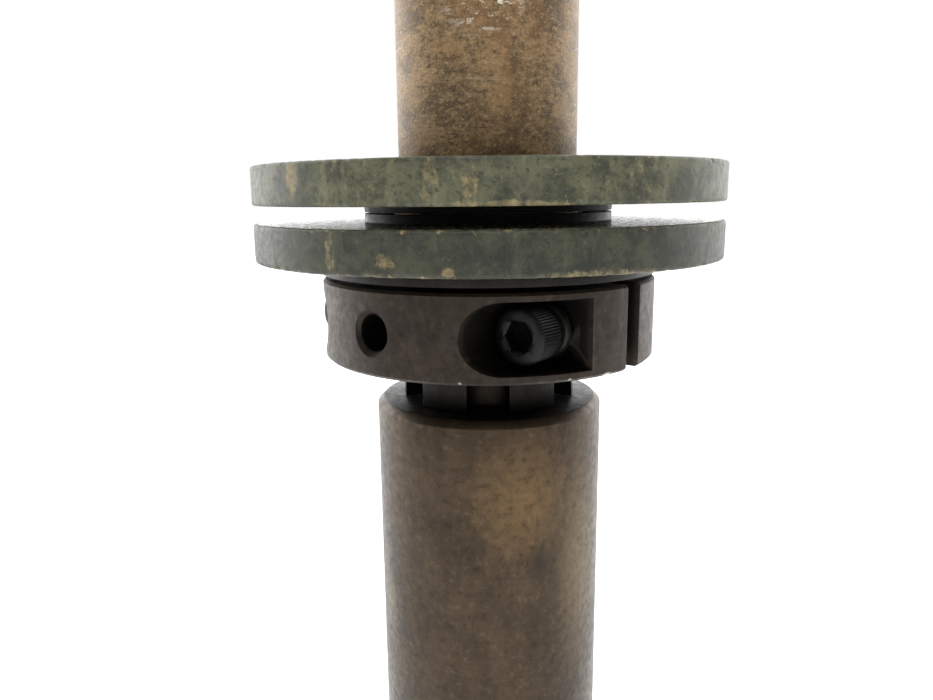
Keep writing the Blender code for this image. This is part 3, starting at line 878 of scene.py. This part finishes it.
def ground_pin_finish():
    """Ground steel pin with faint lines and a few dark spots."""
    f = Finish("ground pin")
    line = f.noise(f.stretched((1, 1, 20)), 220, 3, 0.6)
    spot = f.noise(f.coords, 900, 3, 0.6)
    base = f.mixed(f.between(line, 0.3, 0.7), (0.16, 0.155, 0.15), (0.30, 0.30, 0.30))
    base = f.mixed(f.between(spot, 0.62, 0.72, 0, 0.7), base, (0.10, 0.08, 0.06))
    f.bump(line, 0.00001, 0.6)
    return f.done(base, f.between(spot, 0.3, 0.7, 0.22, 0.38), 1.0, 0.5)


def coat(ob, *finishes):
    """Give a piece its finishes, one per material slot."""
    ob.data.materials.clear()
    for finish in finishes:
        ob.data.materials.append(finish)


def recoat_node(node, finish):
    """Put a finish on every slot of a CAD node that stays."""
    for slot in NODES[node].material_slots:
        slot.material = finish


# ---------------------------------------------------------------- the finishes in use
RIM_Z = (FLANGE_OUT[0] + FLANGE_OUT[1]) / 2
RIM_UP_Z = (FLANGE_IN[0] + FLANGE_IN[1]) / 2

# bright nicks on the collar's lower edge: degrees round the collar, and length
NICKS = ((30, 0.5 * MM), (63, 0.5 * MM), (77, 1.5 * MM), (-24, 1.6 * MM), (206, 1.5 * MM))
NICK_Z = COLLAR_LOW + 0.2 * MM
NICK_HEIGHT = 0.6 * MM
BRIGHT_STEEL = (0.62, 0.59, 0.54)

rusted_shaft = rusted_shaft_finish()
green_upper = green_paint_finish(
    "green paint upper",
    FLANGE_IN,
    (
        (round_about(FLANGE_R, -4.5, RIM_UP_Z + MM), (2.6 * MM, 2.6 * MM, 4.5 * MM), 1.25),
        (round_about(FLANGE_R, 28, RIM_UP_Z), (2.2 * MM, 2.2 * MM, 6 * MM), 1.0),
        (round_about(FLANGE_R, 35, RIM_UP_Z), (2.2 * MM, 2.2 * MM, 6 * MM), 1.05),
        (round_about(FLANGE_R, 42, RIM_UP_Z - 3.4 * MM), (15 * MM, 15 * MM, 1.3 * MM), 1.25),
        (round_about(FLANGE_R, 15, RIM_UP_Z), (9 * MM, 9 * MM, 6 * MM), 0.5),
        (round_about(FLANGE_R, 69, RIM_UP_Z), (5 * MM, 5 * MM, 5 * MM), 0.7),
        (round_about(FLANGE_R, 130, RIM_UP_Z), (9 * MM, 9 * MM, 8 * MM), 0.7),
        (round_about(FLANGE_R, 225, RIM_UP_Z), (9 * MM, 9 * MM, 8 * MM), 0.8),
    ),
    (0.026, 0.028, 0.016),
    (0.082, 0.083, 0.045),
    0.15,
)
# painted shade: the lower flange has the same green paint as the upper one, with its colours made about
# twice as dark
green_lower_shaded = green_paint_finish(
    "green paint lower",
    FLANGE_OUT,
    (
        (round_about(FLANGE_R, 6, RIM_Z), (1.6 * MM, 1.8 * MM, 6 * MM), 0.9),
        (round_about(FLANGE_R, 19, RIM_Z - MM), (4 * MM, 4 * MM, 2.2 * MM), 0.85),
        (round_about(FLANGE_R, 31, RIM_Z - 2.6 * MM), (1.4 * MM, 1.4 * MM, 1.2 * MM), 1.3),
        (round_about(FLANGE_R, 60, RIM_Z - 3.5 * MM), (18 * MM, 18 * MM, 1.6 * MM), 1.1),
        (round_about(FLANGE_R, 20, RIM_Z - 3.5 * MM), (14 * MM, 14 * MM, 1.2 * MM), 0.8),
        (round_about(FLANGE_R, 165, RIM_Z), (10 * MM, 10 * MM, 8 * MM), 0.7),
        (round_about(FLANGE_R, 265, RIM_Z), (8 * MM, 8 * MM, 8 * MM), 0.8),
    ),
    (0.012, 0.013, 0.0072),
    (0.036, 0.038, 0.020),
    0.16,
)
brown_steel = turned_steel_finish(
    "browned steel",
    (0.017, 0.0125, 0.0088),
    (0.036, 0.0265, 0.0195),
    stains=tuple(
        (round_about(COLLAR_R, turn, NICK_Z), (long, long, NICK_HEIGHT), BRIGHT_STEEL, 1.0)
        for turn, long in NICKS
    ),
    rough=(0.42, 0.58),
    # painted shade on the collar's end faces, chamfers and bore
    shade_inside_radius=COLLAR_R,
    shine=0.4,
)
dark_steel = turned_steel_finish(
    "oily dark steel", (0.0060, 0.0056, 0.0048), (0.0125, 0.0112, 0.0094), shine=0.25
)
shaft_steel = turned_steel_finish(
    "browned shaft steel",
    (0.030, 0.0205, 0.0118),
    (0.060, 0.0400, 0.0238),
    stains=(
        (round_about(SHAFT_OUT_R, 53, 0.066), (13 * MM, 13 * MM, 17 * MM), (0.155, 0.096, 0.042), 0.68),
        (round_about(SHAFT_OUT_R, 88, 0.052), (9 * MM, 9 * MM, 30 * MM), (0.14, 0.100, 0.052), 0.7),
        (round_about(SHAFT_OUT_R, 62, 0.053), (3 * MM, 3 * MM, 5 * MM), (0.016, 0.013, 0.009), 0.8),
        (round_about(SHAFT_OUT_R, -25, 0.040), (5 * MM, 6 * MM, 9 * MM), (0.13, 0.10, 0.07), 0.6),
        (round_about(SHAFT_OUT_R, 150, 0.040), (14 * MM, 14 * MM, 20 * MM), (0.14, 0.095, 0.05), 0.6),
        (round_about(SHAFT_OUT_R, 265, 0.055), (12 * MM, 12 * MM, 22 * MM), (0.14, 0.095, 0.05), 0.6),
    ),
    # painted shade on the shaft's shoulder, chamfers and journal
    shade_inside_radius=SHAFT_OUT_R - 0.4 * MM,
    shine=0.4,
)
black_steel = black_finish("black oxide hub", (0.0040, 0.0040, 0.0042), (0.42, 0.6))
HEAD_FACE_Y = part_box("clamp_screw_right")[0][1]
SOCKET_SHADE_SIZE = (3.1 * MM, 3.4 * MM, 3.1 * MM)
black_screw = black_finish(
    "black oxide screw",
    (0.0085, 0.0080, 0.0075),
    (0.34, 0.48),
    0.6,
    # painted shade in the two key sockets of the clamp screws
    tuple(((x, HEAD_FACE_Y + 3.2 * MM, COLLAR_MID), SOCKET_SHADE_SIZE) for x in (SCREW_X, -SCREW_X)),
)
dull_washer = turned_steel_finish("dull washer", (0.015, 0.015, 0.013), (0.034, 0.033, 0.028))
oily_bronze = bronze_finish()
ground_pin = ground_pin_finish()


# ---------------------------------------------------------------- fit every piece
def fit(piece, body, node, slot, *finishes):
    """Ride on its body, stand for its CAD node and take its finishes."""
    coat(piece, *finishes)
    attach(piece, body)
    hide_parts(node)


fit(make_output_shaft(), "output", "output_shaft", "worn_shaft_steel", shaft_steel)
fit(make_output_hub(), "output", "output_hub", "brown_steel", dark_steel)
fit(
    make_flange("output_flange_worn", FLANGE_OUT, BOSS_R, 3.1),
    "output", "output_flange", "green_paint", green_lower_shaded,
)
fit(make_collar_front(), "output", "collar_front_half", "brown_steel", brown_steel)
fit(make_collar_rear(), "collar_rear", "collar_rear_half", "brown_steel", brown_steel)
fit(make_input_shaft(), "input", "input_shaft", "rusted_steel", rusted_shaft)
fit(make_input_hub(), "input", "input_hub", "black_steel", black_steel)
fit(make_input_flange(), "input", "input_flange", "green_paint", green_upper)
for side in ("right", "left"):
    screw_node = f"clamp_screw_{side}"
    washer_node = f"clamp_washer_{side}"
    screw = make_clamp_screw(f"{screw_node}_knurled", screw_node)
    fit(screw, screw_node, screw_node, "black_screw", black_screw)
    washer = make_washer(f"{washer_node}_punched", washer_node)
    fit(washer, "output", washer_node, "washer_steel", dull_washer)

recoat_node("floating_disc", oily_bronze)
for hidden_screw in HUB_SCREWS + FLANGE_SCREWS:
    recoat_node(hidden_screw, black_screw)
for pin in DOWELS + FLANGE_PINS:
    recoat_node(pin, ground_pin)


# ---------------------------------------------------------------- studio
CAMERA_AZIMUTH = 40
CAMERA_TURN = math.radians(CAMERA_AZIMUTH)
CAMERA_DISTANCE = 154.3 * MM
CAMERA_ASIDE = -4.5 * MM
CAMERA_HEIGHT = 121.7 * MM
CAMERA_TILT = math.radians(90 - 11.60)
CAMERA_ROLL = -0.01137
CAMERA_LENS = 29.53
SENSOR_WIDTH = 36
FLOOR_GLOW = 0.5

# side panels: turn away from the camera in degrees, then metres and watts
SIDE_TURN = 115
SIDE_DISTANCE = 0.7
SIDE_HEIGHT = 0.35
SIDE_SIZE = (0.6, 0.9)
LEFT_POWER = 5
RIGHT_POWER = 3.5
TOP_DISTANCE = 0.5
TOP_HEIGHT = 0.9
TOP_SIZE = (0.7, 0.7)
TOP_POWER = 6

# white room: how bright it is before and behind the coupling, and as the camera sees it
ROOM_TURN = (0.15, 0.75)
ROOM_LIGHT = (0.42, 3.4)
ROOM_SEEN = 1.25


def make_camera():
    """Camera close to the coupling, looking a little down."""
    data = bpy.data.cameras.new("camera")
    data.lens = CAMERA_LENS
    data.sensor_width = SENSOR_WIDTH
    data.clip_start = 5 * MM
    data.clip_end = 50
    ob = bpy.data.objects.new("camera", data)
    bpy.context.scene.collection.objects.link(ob)
    about = Matrix.Rotation(CAMERA_TURN, 4, "Z")
    place = Matrix.Translation((CAMERA_ASIDE, -CAMERA_DISTANCE, CAMERA_HEIGHT))
    tilt = Matrix.Rotation(CAMERA_TILT, 4, "X")
    roll = Matrix.Rotation(CAMERA_ROLL, 4, "Z")
    ob.matrix_world = about @ place @ tilt @ roll
    bpy.context.scene.camera = ob


def make_floor():
    """Plain pale floor under the coupling."""
    nothing_selected()
    bpy.ops.mesh.primitive_circle_add(vertices=96, radius=6, fill_type="NGON")
    ob = bpy.context.object
    ob.name = "floor"
    f = Finish("pale floor")
    f.done((0.92, 0.92, 0.92, 1), 0.9, 0.0, 0.1)
    f.shader.inputs["Emission Color"].default_value = (1, 1, 1, 1)
    f.shader.inputs["Emission Strength"].default_value = FLOOR_GLOW
    ob.data.materials.append(f.mat)


def make_softbox(name, turn, distance, height, size, power, aim=0.1):
    """Soft panel light: turn is measured like the camera's, in degrees."""
    data = bpy.data.lights.new(name, "AREA")
    data.shape = "RECTANGLE"
    data.size, data.size_y = size
    data.energy = power
    ob = bpy.data.objects.new(name, data)
    bpy.context.scene.collection.objects.link(ob)
    at = Vector(round_about(distance, turn, height))
    ob.location = at
    ob.rotation_euler = (Vector((0, 0, aim)) - at).to_track_quat("-Z", "Y").to_euler()


def make_world():
    """White surroundings, brightest behind the coupling as the camera sees it."""
    world = bpy.data.worlds.new("white room")
    bpy.context.scene.world = world
    world.use_nodes = True
    tree = world.node_tree
    tree.nodes.clear()
    coords = tree.nodes.new("ShaderNodeTexCoord")
    dot = tree.nodes.new("ShaderNodeVectorMath")
    dot.operation = "DOT_PRODUCT"
    tree.links.new(coords.outputs["Generated"], dot.inputs[0])
    dot.inputs[1].default_value = (-math.sin(CAMERA_TURN), math.cos(CAMERA_TURN), 0.0)
    ramp = tree.nodes.new("ShaderNodeMapRange")
    ramp.interpolation_type = "SMOOTHSTEP"
    tree.links.new(dot.outputs["Value"], ramp.inputs["Value"])
    ramp.inputs["From Min"].default_value, ramp.inputs["From Max"].default_value = ROOM_TURN
    ramp.inputs["To Min"].default_value, ramp.inputs["To Max"].default_value = ROOM_LIGHT
    light = tree.nodes.new("ShaderNodeBackground")
    tree.links.new(ramp.outputs["Result"], light.inputs["Strength"])
    seen = tree.nodes.new("ShaderNodeBackground")
    seen.inputs["Strength"].default_value = ROOM_SEEN
    path = tree.nodes.new("ShaderNodeLightPath")
    mix = tree.nodes.new("ShaderNodeMixShader")
    out = tree.nodes.new("ShaderNodeOutputWorld")
    tree.links.new(path.outputs["Is Camera Ray"], mix.inputs["Fac"])
    tree.links.new(light.outputs[0], mix.inputs[1])
    tree.links.new(seen.outputs[0], mix.inputs[2])
    tree.links.new(mix.outputs[0], out.inputs["Surface"])


make_camera()
make_floor()
for panel, panel_turn, power in (
    ("left_panel", CAMERA_AZIMUTH - SIDE_TURN, LEFT_POWER),
    ("right_panel", CAMERA_AZIMUTH + SIDE_TURN, RIGHT_POWER),
):
    make_softbox(panel, panel_turn, SIDE_DISTANCE, SIDE_HEIGHT, SIDE_SIZE, power)
make_softbox("top_panel", CAMERA_AZIMUTH, TOP_DISTANCE, TOP_HEIGHT, TOP_SIZE, TOP_POWER)
make_world()
bpy.context.scene.view_settings.view_transform = "Standard"
